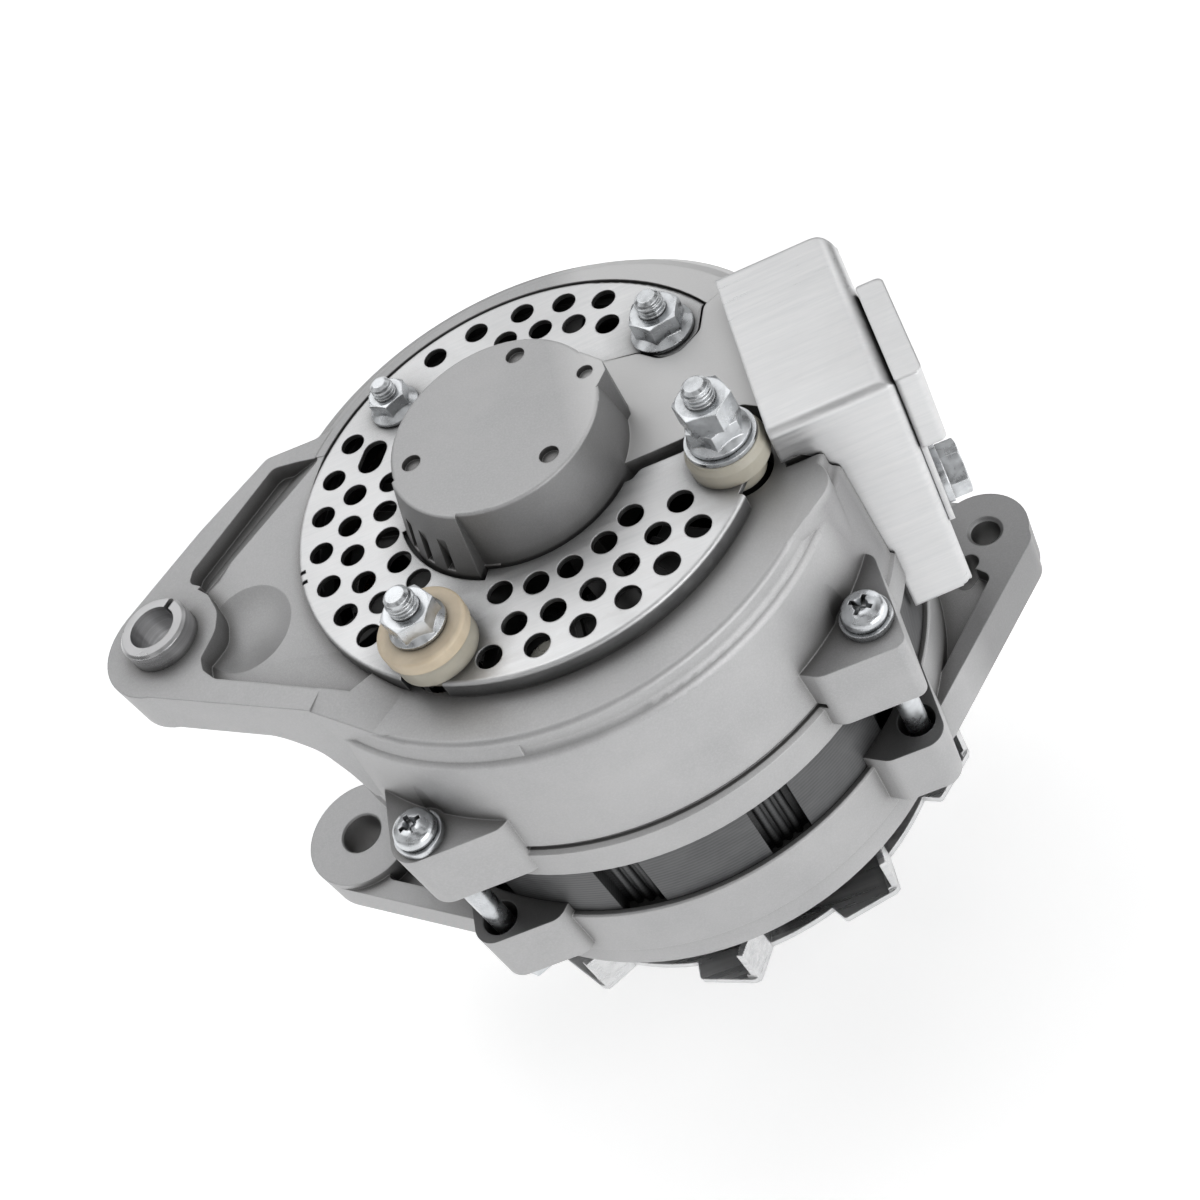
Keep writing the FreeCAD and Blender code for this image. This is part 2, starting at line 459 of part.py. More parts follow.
def perforated_plate():
    z1, z0 = PLATE_TOP, PLATE_TOP - PLATE_T
    disc = cyl(PLATE_R, z0, z1)
    rim = rev([(PLATE_R - PLATE_T, z1 - PLATE_RIM), (PLATE_R, z1 - PLATE_RIM), (PLATE_R, z1, 0.9), (PLATE_R - 3.0, z1), (PLATE_R - 3.0, z0), (PLATE_R - PLATE_T, z0, 0.3)])
    edge = tube(PLATE_R + 2, PLATE_R - 2.99, z1 - 10, z1 + 1)
    s = fuse([disc.cut(edge), rim])
    # the sector that the bridge fills, with tabs left round the studs
    away = prism([(0, 19.6), (22.0, 19.6), (29.6, 17.8, 2), (33.6, 13.6, 3), (37.0, 13.0, 3), (42.0, 16.4, 3), (44.4, 23.2, 1), (52.5, 27.5), (70, 30), (70, -40),
                  (46, -36.0), (41.2, -31.6, 0.5), (42.4, -28.6, 2), (47.6, -25.6, 3), (48.8, -19.7, 4), (46.6, -13.6, 3), (41.0, -12.2, 3), (36.8, -12.2, 2.6), (32.0, -13.8, 2), (23.4, -13.6, 2), (21.2, -15.2, 1), (0, -15.2)], -10, 2)
    s = s.cut(away)
    inner = fuse([cyl(24.9, -10, 2), sector(10, 27.5, 187, 245, -10, 2), prism([(14, 9), (21, 11.0), (25.6, 5.0), (25.6, 0.0), (22.5, -5), (14, -5)], -10, 2)])
    s = s.cut(inner)
    # the rim stops beside the second stud
    s = s.cut(rev([(PLATE_R - 2.2, z0), (PLATE_R + 1, z0), (PLATE_R + 1, z0 - 6), (PLATE_R - 2.2, z0 - 6)], 231.5, 11.0))
    s = s.cut(rev([(PLATE_R - 0.9, z0 - 1), (PLATE_R + 1, z0 - 1), (PLATE_R + 1, z1 + 1), (PLATE_R - 0.9, z1 + 1)], 231.5, 11.0))
    # no rim under the output stud and beside the cover
    s = s.cut(rev([(PLATE_R - 2.4, z0), (PLATE_R + 1, z0), (PLATE_R + 1, z0 - 6), (PLATE_R - 2.4, z0 - 6)], -36.6, 40))
    s = s.cut(rev([(PLATE_R - 1.3, z0 - 1), (PLATE_R + 1, z0 - 1), (PLATE_R + 1, z1 + 1), (PLATE_R - 1.3, z1 + 1)], -36.6, 40))
    h = []
    for r, angles in ((45.55, HOLES_OUT), (38.85, HOLES_MID), (30.75, HOLES_IN)):
        h += [cyl(2.74, z0 - 1, z1 + 1, *polar(r, a)) for a in angles]
    h.append(hull2((-32.4, 20.2), 2.9, (-31.0, 23.0), 2.9, z0 - 1, z1 + 1))
    h += [cyl(3.1, z0 - 1, z1 + 1, *T1), cyl(2.7, z0 - 1, z1 + 1, *T4), cyl(6.0, z0 - 1, z1 + 1, *T2), cyl(6.0, z0 - 1, z1 + 1, *T3)]
    # two small nicks in the left edge
    h += [spin(box(PLATE_R - 1.6, PLATE_R + 1, -0.5, 0.5, z0 - 0.01, z1 + 1), a) for a in (183.2, 186.4)]
    return s.cut(h)


# ---------------------------------------------------------------- rectifier
def sink(z0, z1, r0, r1, a0, a1, clear, fins):
    s = sector(r0, r1, a0, a1, z0, z1)
    for a in fins:
        s = s.fuse(spin(box(r0 + 1.0, r1 - 1.0, -0.7, 0.7, z1 - 0.1, z1 + 2.4), a))
    for (x, y, r) in clear:
        s = s.cut(cyl(r, z0 - 5, z1 + 6, x, y))
    return s.removeSplitter()


DIODE_POS = (68, 178, 290)
DIODE_NEG = (96, 206, 262)


# ---------------------------------------------------------------- rotor
def claw_pole(z_base, z_disc, z_tip):
    """Disc with six fingers that narrow towards their tips."""
    up = 1 if z_tip > z_base else -1
    disc = cyl(33.0, min(z_base, z_disc), max(z_base, z_disc))
    prof = rev([(32.0, z_base), (ROTOR_R - 1.2, z_base), (ROTOR_R, z_base + up * 1.2), (ROTOR_R, z_tip), (41.9, z_tip), (36.2, z_disc), (32.0, z_disc)])
    out = [disc]
    for i in range(6):
        t = Part.Face(Part.makePolygon([V(25, -11.8, z_base), V(25, 11.8, z_base), V(25, 10.9, z_disc), V(25, 5.2, z_tip), V(25, -5.2, z_tip), V(25, -10.9, z_disc), V(25, -11.8, z_base)])).extrude(V(30, 0, 0))
        out.append(spin(t.common(prof), 60 * i))
    return fuse(out).cut(cyl(10.0, -200, 50))


def fan():
    """Disc with pressed blades: a flat tongue each, whose trailing side is folded up as a wall."""
    parts = [tube(58.3, 8.5, FAN_Z0, FAN_Z1)]
    for i in range(11):
        a = 360.0 / 11 * i + 6.0
        tip = FAN_BLADE_R
        o = [polar(46, a - 12.0), polar(56, a - 12.6), (*polar(62.4, a - 11.4), 1.0), (*polar(tip, a + 0.6), 2.0), polar(60.7, a + 3.6), polar(46, a + 9.6)]
        parts.append(prism(o, FAN_Z0, FAN_Z1))
        # wall along the trailing side, thicker at its foot where the sheet is folded
        p, q, r = V(*polar(tip - 0.5, a + 0.8), 0), V(*polar(58.6, a + 5.0), 0), V(*polar(44.5, a + 10.4), 0)
        n = V(p.y - r.y, r.x - p.x, 0)
        n.normalize()
        for t, z1 in ((1.5, FAN_BLADE_TOP), (2.5, FAN_Z1 + 1.2)):
            w = Part.Face(Part.makePolygon([p, q, r, r + n * t, q + n * t, p + n * t, p])).extrude(V(0, 0, z1 - FAN_Z0))
            w.translate(V(0, 0, FAN_Z0))
            parts.append(w)
    s = fuse(parts)
    return s.cut([cyl(4.0, FAN_Z0 - 1, FAN_Z1 + 1, *polar(24.0, 60 * i + 10)) for i in range(6)])


def pulley():
    top, bottom = PULLEY_MID + 10.5, PULLEY_MID - 10.5
    return rev([(8.5, FAN_Z0), (19.0, FAN_Z0), (19.0, top + 0.6, 0.5), (31.0, top + 0.6, 1), (PULLEY_R, top - 0.6, 1.2), (PULLEY_R, PULLEY_MID + 6.8, 0.6), (23.6, PULLEY_MID + 2.9, 1.0),
                (23.6, PULLEY_MID - 2.9, 1.0), (PULLEY_R, PULLEY_MID - 6.8, 0.6), (PULLEY_R, bottom + 0.6, 1.2), (31.0, bottom + 0.4, 1), (19.0, bottom + 5.0, 1.5), (17.0, bottom + 1.0, 0.8), (8.5, bottom + 1.0)])


# ---------------------------------------------------------------- small parts
def split_washer(ri, ro, z0, z1, x, y, turn=0.0):
    s = tube(ro, ri, z0, z1)
    g = box(ri - 0.6, ro + 1, -0.35, 0.35, z0 - 1, z1 + 1)
    g.rotate(V((ri + ro) / 2, 0, (z0 + z1) / 2), V(1, 0, 0), 25)
    return at(s.cut(g), x, y, 0, turn)


def pan_head_bolt(x, y, turn):
    head = rev([(0, SEAT + 1.7), (4.4, SEAT + 1.7), (4.6, SEAT + 2.6, 0.5), (4.3, SEAT + 4.1, 1.3), (2.3, SEAT + 5.2, 3.0), (0, SEAT + 5.2)])
    cross = fuse([box(-2.4, 2.4, -0.5, 0.5, SEAT + 3.5, SEAT + 7), box(-0.5, 0.5, -2.4, 2.4, SEAT + 3.5, SEAT + 7)])
    cross = cross.fuse(cone(0.6, 1.7, SEAT + 3.0, SEAT + 5.6))
    shank = fuse([cyl(2.5, FRONT_SEAT - 3.0, SEAT + 1.8), thread(2.5, 0, 6.4, 0.8).mirror(V(0, 0, 0), V(0, 0, 1)).translated(V(0, 0, FRONT_SEAT - 0.2))])
    return at(fuse([head.cut(cross), shank]), x, y, 0, turn)


def regulator_cover():
    t = SHEET
    x0, x1, y0, y1, zt = REG_X0, REG_X1, REG_Y0, REG_Y1, REG_TOP
    zb = REG_LEG
    outer = side_prism([(x0, zt), (x1, zt, 3.4), (x1, zb), (x0, zb)], y0, y1)
    # walls: top flange, side leg, outer wall
    s = outer.cut(side_prism([(x0 - 2, zt - t), (x1 - t, zt - t, 2.4), (x1 - t, zb - 2), (x0 - 2, zb - 2)], y0 + t, y1 + 3))
    # side leg's inner edge with its notch for the pad
    s = s.cut(side_prism([(40, -5.4), (49.3, -5.3), (52.4, -4.7, 2.2), (56.6, -8.6, 3.5), (58.1, -16.0, 8), (58.6, -30.0), (60.8, -48.5), (60.9, zb - 4), (40, zb - 4)], y0 - 2, y0 + t + 0.01))
    # lower end, and the outer wall stops short of the front housing
    s = s.cut(side_prism([(60, zb - 0.01), (90, zb + 1.4), (90, zb - 20), (60, zb - 20)], y0 - 3, y1 + 3))
    s = s.cut(prism([(x1 - 6, y1 - 3.0), (x1 + 4, y1 - 3.0 - 0.001), (x1 + 4, y1 + 3), (x1 - 6, y1 + 3)], zt - 1.7 * t - 60, zt - 5))
    s = s.cut(box(x1 - t - 0.01, x1 + 2, y0 + t + 9, y1 + 3, -80, -40))
    # folds towards the front leg and down its outer edge
    s = s.cut(box(x0 - 2, x1 + 2, y0 - 1, y0 + 1.8, zt - 1.8, zt + 1).cut(Part.makeCylinder(1.8, x1 - x0 + 6, V(x0 - 3, y0 + 1.8, zt - 1.8), V(1, 0, 0))))
    s = s.cut(box(x1 - 1.9, x1 + 1, y0 - 1, y0 + 1.9, zb - 2, zt + 2).cut(cyl(1.9, zb - 3, zt + 3, x1 - 1.9, y0 + 1.9)))
    # rounded lower corner of the leg
    s = s.cut(box(x1 - 2.2, x1 + 1, y0 - 1, y0 + t + 0.01, zb - 1, zb + 3.2).cut(Part.makeCylinder(2.2, 9, V(x1 - 2.2, y0 - 3, zb + 3.2), V(0, 1, 0))))
    # rounded vertical corner of the flange at its far end
    s = s.cut(box(x1 - 5, x1 + 1, y1 - 5, y1 + 1, zt - 4.9, zt + 1).cut(cyl(5.0, zt - 6, zt + 2, x1 - 5.0, y1 - 5.0)))
    # holes of its screws
    return s.cut([xcyl(3.2, x1 - 4, x1 + 2, *p) for p in REG_SCREWS])


def regulator_body():
    s = prism([(50, -20.0), (72.7, -20.0, 1.5), (72.7, 17.0, 1.5), (50, 17.0)], -44.5, -9.6)
    s = s.cut(box(40, 66.3, -30, 30, -50, 0))
    return s.cut([xcyl(3.2, 50, 80, *p) for p in REG_SCREWS])


def brush_holder():
    s = fuse([box(16.4, 52.0, -6.6, 6.6, -31.6, -12.6), box(52.0, 66.2, -9.0, 9.0, -32.2, -12.6)])
    # throat that clears the slip rings
    s = s.cut(cyl(14.6, -60, 10))
    for zc in (-16.2, -26.2):
        s = s.cut(box(10, 47.5, -3.1, 3.1, zc - 2.6, zc + 2.6))
    return s


def brush(zc):
    b = box(13.0, 30.0, -3.0, 3.0, zc - 2.5, zc + 2.5)
    return b.cut(cyl(14.03, zc - 5, zc + 5))


def coil_spring(x0, x1, zc):
    """Flat-wound look of a compression spring: stacked turns on a thin core."""
    n = 9
    step = (x1 - x0) / n
    turns = []
    for i in range(n):
        t = Part.makeTorus(1.7, 0.38)
        t.rotate(V(0, 0, 0), V(0, 1, 0), 90)
        t.translate(V(x0 + 0.4 + step * i + (step - 0.8) * 0.5 * 0 + i * 0.0, 0, zc))
        turns.append(t)
    bar = Part.makeCylinder(0.45, (x1 - x0) - step + 0.0, V(x0 + 0.4, 1.7, zc), V(1, 0, 0))
    return fuse(turns + [bar])


def build():
    node("rear_housing", rear_housing())
    node("front_housing", front_housing())
    node("stator_core", stator_core())
    node("stator_winding", stator_winding())
    node("perforated_plate", perforated_plate())

    # split slip bush of the pivot foot
    gap = box(PIVOT_BORE_R - 1, BUSH_R + 2, -0.75, 0.75, -20, 6)
    gap.rotate(V(0, 0, 0), V(0, 0, 1), 48)
    node("pivot_bush", at(rev([(PIVOT_BORE_R, ARM_BOT - 0.6), (BUSH_R, ARM_BOT - 0.6), (BUSH_R, 2.2), (BUSH_R - 0.6, 2.8), (PIVOT_BORE_R, 2.8)]).cut(gap), PIVOT_X, PIVOT_Y))

    # through bolts
    node("through_bolts", [pan_head_bolt(*polar(BOLT_R, a), 20 + 33 * i) for i, a in enumerate(BOLT_A)])
    node("spring_washers", [split_washer(2.6, 5.2, SEAT, SEAT + 1.6, *polar(BOLT_R, a), 60 + 70 * i) for i, a in enumerate(BOLT_A)])
    node("through_bolt_nuts", [at(hex_nut(8.0, 2.52, FRONT_SEAT - 3.6, FRONT_SEAT, a + 30.0), *polar(BOLT_R, a)) for a in BOLT_A])

    # studs of the cover plate
    top = PLATE_TOP
    node("cover_studs", [at(fuse([cyl(2.95, -19.0, top + 2.0), thread(3.0, top + 2.0, top + 10.2, 1.0)]), *T1),
                         at(fuse([cyl(2.45, -17.0, top + 1.5), thread(2.5, top + 1.5, top + 8.4, 0.8)]), *T4)])
    node("cover_nuts", [at(flange_nut(10.0, 3.03, 6.8, top, top + 6.2, 12), *T1), at(flange_nut(8.0, 2.53, 5.6, top, top + 5.2, 25), *T4)])

    # output stud, insulated from the plate
    node("output_stud", at(fuse([cyl(2.95, -31.0, 5.0), thread(3.0, 5.0, 18.4, 1.0), hexagon(9.0, -31.0, -28.6, 0)]), *T2))
    node("output_stud_bush", at(rev([(3.1, -6.4), (5.9, -6.4), (5.9, top), (8.1, top), (8.1, 1.2, 0.6), (7.6, 2.2, 0.5), (7.4, 3.0, 0.3), (3.1, 3.0)]), *T2))
    node("output_washer", at(tube(7.2, 3.1, 3.0, 4.0), *T2))
    node("output_nuts", [at(flange_nut(10.0, 3.03, 6.3, 4.0, 9.6, 20), *T2), at(hex_nut(10.0, 3.03, 9.6, 14.6, 48), *T2)])

    # second insulated stud
    node("second_stud", at(fuse([cyl(2.95, -31.0, 8.0), thread(3.0, 8.0, 15.6, 1.0), hexagon(9.0, -31.0, -28.6, 0)]), *T3))
    node("second_stud_bush", at(rev([(3.1, -6.4), (5.9, -6.4), (5.9, top), (8.7, top), (8.5, 2.6), (3.1, 2.6)]), *T3))
    node("second_stud_insulator", at(rev([(3.1, 2.6), (9.2, 2.6), (9.2, 5.6, 0.8), (3.1, 5.6)]), *T3))
    node("second_stud_nut", at(flange_nut(9.6, 3.03, 5.9, 5.6, 11.2, 5), *T3))

    # rectifier: negative plate on the cover studs, positive plate on the insulated studs
    t12 = [(T2[0], T2[1], 5.2), (T3[0], T3[1], 5.2), (T1[0], T1[1], 2.96), (T4[0], T4[1], 2.46)]
    neg_d = [polar(39.5, a) for a in DIODE_NEG]
    pos_d = [polar(38.5, a) for a in DIODE_POS]
    node("negative_heat_sink", sink(-19.0, -16.6, 27.0, 47.0, 27, 325, t12 + [(x, y, 5.0) for x, y in neg_d] + [(x, y, 6.4) for x, y in pos_d],
                                    (48, 56, 110, 118, 140, 150, 160, 188, 196, 216, 228, 240, 272, 280, 304, 314)))
    node("positive_heat_sink", sink(-28.6, -26.0, 27.0, 46.0, 40, 332, [(T2[0], T2[1], 2.96), (T3[0], T3[1], 2.96), (T1[0], T1[1], 4.5), (T4[0], T4[1], 5.0)] + [(x, y, 5.0) for x, y in pos_d] + [(x, y, 6.4) for x, y in neg_d], ()))
    def diode(zb, zt, up):
        can = rev([(0, zb), (5.0, zb), (5.0, zt, 0.5), (0, zt)])
        if up:
            return fuse([can, cyl(2.2, zt - 0.1, zt + 1.2), cyl(0.6, zt, zt + 3.4)])
        return fuse([can, cyl(2.2, zb - 1.2, zb + 0.1), cyl(0.6, zb - 3.0, zb)])
    node("negative_diodes", [at(diode(-19.6, -14.2, False), x, y) for x, y in neg_d])
    node("positive_diodes", [at(diode(-29.2, -23.6, True), x, y) for x, y in pos_d])
    node("rectifier_spacers", [at(tube(4.6, 2.97, -16.6, -12.0), *T1), at(tube(4.4, 2.47, -16.6, -12.0), *T4)])
    node("stud_sleeves", [at(tube(4.6, 3.0, -26.0, -6.4), *T2), at(tube(4.6, 3.0, -26.0, -6.4), *T3)])
    node("rectifier_screws", [at(hexagon(8.4, -21.2, -19.0, 10).cut(cyl(2.96, -30, -10)), *T1),
                              at(hexagon(7.4, -21.0, -19.0, 25).cut(cyl(2.46, -30, -10)), *T4)])

    # regulator, its sheet cover and the suppressor beside it
    node("regulator_cover", regulator_cover())
    node("regulator_body", regulator_body())
    can = prism([(REG_X1, -23.2, 0.8), (79.3, -23.2, 1.6), (79.3, 4.6, 1.6), (REG_X1, 4.6, 0.8)], -17.0, 2.4)
    tab = prism([(REG_X1, -22.4), (REG_X1 + 1.2, -22.4), (REG_X1 + 1.2, -9.4), (REG_X1, -9.4)], -40.5, -16.9)
    node("suppressor", fuse([can, tab]).cut(xcyl(3.15, 60, 90, *REG_SCREWS[0])))
    def hex_screw(x0, y, z, washer):
        head = hexagon(10.0, 0, 4.0, 14)
        head.rotate(V(0, 0, 0), V(0, 1, 0), 90)
        head.translate(V(x0 + washer, y, z))
        w = xcyl(6.2, x0, x0 + washer + 0.01, y, z)
        return fuse([head, w, xcyl(3.0, 62.6, x0 + 0.5, y, z)])
    node("regulator_screws", [hex_screw(REG_X1 + 1.2, *REG_SCREWS[0], 1.4), hex_screw(REG_X1, *REG_SCREWS[1], 1.4)])
    node("brush_holder", brush_holder())
    node("upper_brush", brush(-16.2))
    node("lower_brush", brush(-26.2))
    node("upper_brush_spring", coil_spring(30.05, 47.3, -16.2))
    node("lower_brush_spring", coil_spring(30.05, 47.3, -26.2))

    # rear bearing
    o, i, b, c = deep_groove_bearing(7.5, 17.5, 11.0, -1.0, 12.6, 2.95, 8)
    node("rear_bearing_outer_race", o)
    node("rear_bearing_inner_race", i)
    node("rear_bearing_balls", b)
    node("rear_bearing_cage", c)
    # front bearing and its retaining plate
    o, i, b, c = deep_groove_bearing(8.5, 20.0, 12.0, -89.5, 14.4, 3.4, 8)
    node("front_bearing_outer_race", o)
    node("front_bearing_inner_race", i)
    node("front_bearing_balls", b)
    node("front_bearing_cage", c)
    node("bearing_retainer", tube(25.6, 17.6, -83.5, -82.0).cut([cyl(1.65, -90, -80, *polar(23.2, 45 + 90 * k)) for k in range(4)]))
    node("retainer_screws", [at(fuse([cyl(1.6, -91.0, -81.9), rev([(0, -82.0), (2.2, -82.0), (2.2, -80.9), (1.2, -80.2), (0, -80.2)])]).cut(box(-3, 3, -0.35, 0.35, -80.9, -80)), *polar(23.2, 45 + 90 * k)) for k in range(4)])

    # rotor
    shaft = rev([(0, -150.5), (6.2, -150.5), (7.0, -149.7), (7.0, -133.7), (8.5, -133.7), (8.5, -79.6), (10.0, -79.6), (10.0, -42.6), (8.0, -42.6), (8.0, -6.5), (7.5, -6.5), (7.5, 4.2, 0.6), (0, 4.2)])
    shaft = shaft.cut(box(5.2, 9.5, -2.0, 2.0, -132.5, -117.0))
    node("rotor_shaft", shaft)
    node("rear_claw_pole", claw_pole(-43.2, -53.6, -74.4))
    node("front_claw_pole", spin(claw_pole(-76.5, -66.1, -45.3), 30))
    node("field_coil_bobbin", fuse([tube(22.4, 21.0, -66.1, -53.6), tube(35.0, 21.0, -54.7, -53.6), tube(35.0, 21.0, -66.1, -65.0)]))
    node("field_coil", rev([(22.4, -54.7), (22.4, -65.0), (34.2, -65.0, 1.0), (34.2, -54.7, 1.0)]))
    node("rotor_core", tube(21.0, 10.0, -66.1, -53.6))
    node("slip_ring_hub", fuse([tube(11.6, 8.0, -33.6, -9.6), tube(13.4, 8.0, -22.4, -20.2), tube(13.4, 8.0, -11.4, -9.6), tube(13.4, 8.0, -32.6, -31.0), tube(10.0, 8.0, -42.6, -33.6)]))
    node("slip_rings", [tube(14.0, 11.6, -20.2, -11.4), tube(14.0, 11.6, -31.0, -22.4)])
    node("rotor_spacer", tube(12.2, 8.5, -83.5, -79.6))
    node("fan_spacer", tube(12.2, 8.5, FAN_Z1, -95.5))
    node("fan", fan().cut(box(5.0, 10.2, -2.05, 2.05, -120, -100)))
    node("pulley", pulley().cut(box(5.0, 10.2, -2.05, 2.05, -160, -100)))
    node("pulley_key", box(5.2, 10.1, -2.0, 2.0, -132.4, -117.1))
    bottom = PULLEY_MID - 10.5 + 1.0
    node("lock_washer", split_washer(7.1, 12.0, bottom - 2.4, bottom, 0, 0, 40))
    node("pulley_nut", hex_nut(22.0, 7.0, -149.0 + 2.2, bottom - 2.4, 10))


build()

total = 0
for name, shapes in NODES.items():
    solids = []
    for sh in shapes:
        solids += sh.Solids
    good = all(s.isValid() for s in solids)
    vol = sum(s.Volume for s in solids)
    comp = Part.makeCompound(solids) if len(solids) > 1 else solids[0]
    comp.translate(SHIFT)
    comp.exportStep("parts/" + name + ".step")
    total += 1
    bb = comp.BoundBox
    print("%-26s solids %2d valid %s vol %9.1f  x %.1f..%.1f y %.1f..%.1f z %.1f..%.1f" % (name, len(solids), good, vol, bb.XMin, bb.XMax, bb.YMin, bb.YMax, bb.ZMin, bb.ZMax))
print(total, "nodes")
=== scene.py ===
import json
import math

import bpy
from mathutils import Matrix, Vector


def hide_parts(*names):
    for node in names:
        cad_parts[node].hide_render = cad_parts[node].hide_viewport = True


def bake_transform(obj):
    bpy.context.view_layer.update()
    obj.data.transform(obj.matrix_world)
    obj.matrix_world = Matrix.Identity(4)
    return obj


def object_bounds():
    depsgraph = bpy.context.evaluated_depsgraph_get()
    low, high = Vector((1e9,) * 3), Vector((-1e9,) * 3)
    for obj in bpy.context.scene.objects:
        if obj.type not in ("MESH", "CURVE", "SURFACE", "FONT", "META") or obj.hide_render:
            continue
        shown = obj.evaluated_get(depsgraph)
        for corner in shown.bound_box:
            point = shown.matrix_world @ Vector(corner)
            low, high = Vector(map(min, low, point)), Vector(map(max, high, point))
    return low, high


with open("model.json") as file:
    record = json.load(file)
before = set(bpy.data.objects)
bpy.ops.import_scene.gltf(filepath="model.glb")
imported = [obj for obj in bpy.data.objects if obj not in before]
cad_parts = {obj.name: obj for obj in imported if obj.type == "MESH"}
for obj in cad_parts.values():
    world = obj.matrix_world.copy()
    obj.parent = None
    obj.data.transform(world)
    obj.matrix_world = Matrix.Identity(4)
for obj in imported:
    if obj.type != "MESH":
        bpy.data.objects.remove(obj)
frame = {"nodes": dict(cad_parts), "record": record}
cad_lo, cad_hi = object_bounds()
nodes = frame["nodes"]
scene = bpy.context.scene


# ---------------------------------------------------------------- materials
class Mat:
    """Small helper that strings shader nodes together."""

    def __init__(self, name):
        self.m = bpy.data.materials.new(name)
        self.m.use_nodes = True
        self.t = self.m.node_tree
        self.t.nodes.clear()
        self.out = self.t.nodes.new("ShaderNodeOutputMaterial")
        self.b = self.t.nodes.new("ShaderNodeBsdfPrincipled")
        self.t.links.new(self.b.outputs["BSDF"], self.out.inputs["Surface"])
        self.co = self.t.nodes.new("ShaderNodeTexCoord").outputs["Object"]

    def n(self, kind, **sets):
        nd = self.t.nodes.new(kind)
        for k, v in sets.items():
            setattr(nd, k, v)
        return nd

    def link(self, a, b):
        self.t.links.new(a, b)
        return b

    def put(self, socket, value):
        if isinstance(value, bpy.types.NodeSocket):
            self.t.links.new(value, socket)
        else:
            socket.default_value = value

    def mapped(self, scale=(1, 1, 1), rot=(0, 0, 0), loc=(0, 0, 0)):
        mp = self.n("ShaderNodeMapping")
        mp.inputs["Scale"].default_value = scale
        mp.inputs["Rotation"].default_value = rot
        mp.inputs["Location"].default_value = loc
        self.link(self.co, mp.inputs["Vector"])
        return mp.outputs["Vector"]

    def noise(self, scale, detail=3.0, rough=0.55, vec=None, dist=0.0):
        nd = self.n("ShaderNodeTexNoise")
        nd.inputs["Scale"].default_value = scale
        nd.inputs["Detail"].default_value = detail
        nd.inputs["Roughness"].default_value = rough
        nd.inputs["Distortion"].default_value = dist
        self.link(vec if vec is not None else self.co, nd.inputs["Vector"])
        return nd.outputs["Fac"]

    def voronoi(self, scale, vec=None, feature="F1"):
        nd = self.n("ShaderNodeTexVoronoi", feature=feature)
        nd.inputs["Scale"].default_value = scale
        self.link(vec if vec is not None else self.co, nd.inputs["Vector"])
        return nd.outputs["Distance"]

    def wave(self, scale, vec=None, kind="RINGS", axis="Z", dist=0.0, detail=0.0):
        nd = self.n("ShaderNodeTexWave", wave_type=kind)
        if kind == "RINGS":
            nd.rings_direction = axis
        else:
            nd.bands_direction = axis
        nd.inputs["Scale"].default_value = scale
        nd.inputs["Distortion"].default_value = dist
        nd.inputs["Detail"].default_value = detail
        self.link(vec if vec is not None else self.co, nd.inputs["Vector"])
        return nd.outputs["Fac"]

    def ramp(self, fac, stops):
        nd = self.n("ShaderNodeValToRGB")
        el = nd.color_ramp.elements
        while len(el) < len(stops):
            el.new(0.5)
        for e, (p, c) in zip(el, stops):
            e.position = p
            e.color = (c, c, c, 1) if isinstance(c, (int, float)) else (*c, 1)
        self.link(fac, nd.inputs["Fac"])
        return nd.outputs["Color"]

    def remap(self, fac, a, b, lo=0.0, hi=1.0):
        nd = self.n("ShaderNodeMapRange")
        nd.inputs["From Min"].default_value = lo
        nd.inputs["From Max"].default_value = hi
        nd.inputs["To Min"].default_value = a
        nd.inputs["To Max"].default_value = b
        self.link(fac, nd.inputs["Value"])
        return nd.outputs["Result"]

    def mix(self, fac, a, b, kind="MIX"):
        nd = self.n("ShaderNodeMix", data_type="RGBA", blend_type=kind)
        self.put(nd.inputs["Factor"], fac)
        self.put(nd.inputs["A"] if False else nd.inputs[6], a if isinstance(a, bpy.types.NodeSocket) else (*a, 1) if isinstance(a, tuple) else (a, a, a, 1))
        self.put(nd.inputs[7], b if isinstance(b, bpy.types.NodeSocket) else (*b, 1) if isinstance(b, tuple) else (b, b, b, 1))
        return nd.outputs[2]

    def math(self, op, a, b=0.0):
        nd = self.n("ShaderNodeMath", operation=op)
        self.put(nd.inputs[0], a)
        self.put(nd.inputs[1], b)
        return nd.outputs[0]

    def painted_crevice_shade(self, dist, lo=0.35, hi=0.95):
        # painted shade: an ambient-occlusion factor that darkens creases, recesses and the gaps between parts
        nd = self.n("ShaderNodeAmbientOcclusion", samples=4)
        nd.inputs["Distance"].default_value = dist
        return self.remap(nd.outputs["AO"], 0.0, 1.0, lo, hi)

    def bevel(self, radius, samples=4):
        nd = self.n("ShaderNodeBevel", samples=samples)
        nd.inputs["Radius"].default_value = radius
        return nd.outputs["Normal"]

    def edge(self, radius, gain=1.0):
        """1 on edges, 0 on flats, from the angle between the rounded and the real normal."""
        nd = self.n("ShaderNodeBevel", samples=4)
        nd.inputs["Radius"].default_value = radius
        geo = self.n("ShaderNodeNewGeometry")
        dot = self.n("ShaderNodeVectorMath", operation="DOT_PRODUCT")
        self.link(nd.outputs["Normal"], dot.inputs[0])
        self.link(geo.outputs["Normal"], dot.inputs[1])
        return self.remap(dot.outputs["Value"], gain, 0.0, 0.80, 0.995)

    def place(self):
        """Distance from the shaft axis and height above the cover plate, in millimetres."""
        sep = self.n("ShaderNodeSeparateXYZ")
        self.link(self.co, sep.inputs[0])
        x = self.math("SUBTRACT", self.math("MULTIPLY", sep.outputs[0], 1000.0), 82.8)
        y = self.math("SUBTRACT", self.math("MULTIPLY", sep.outputs[1], 1000.0), 5.0)
        z = self.math("SUBTRACT", self.math("MULTIPLY", sep.outputs[2], 1000.0), 92.0)
        r2 = self.math("ADD", self.math("MULTIPLY", x, x), self.math("MULTIPLY", y, y))
        return self.math("SQRT", r2), z, x, y

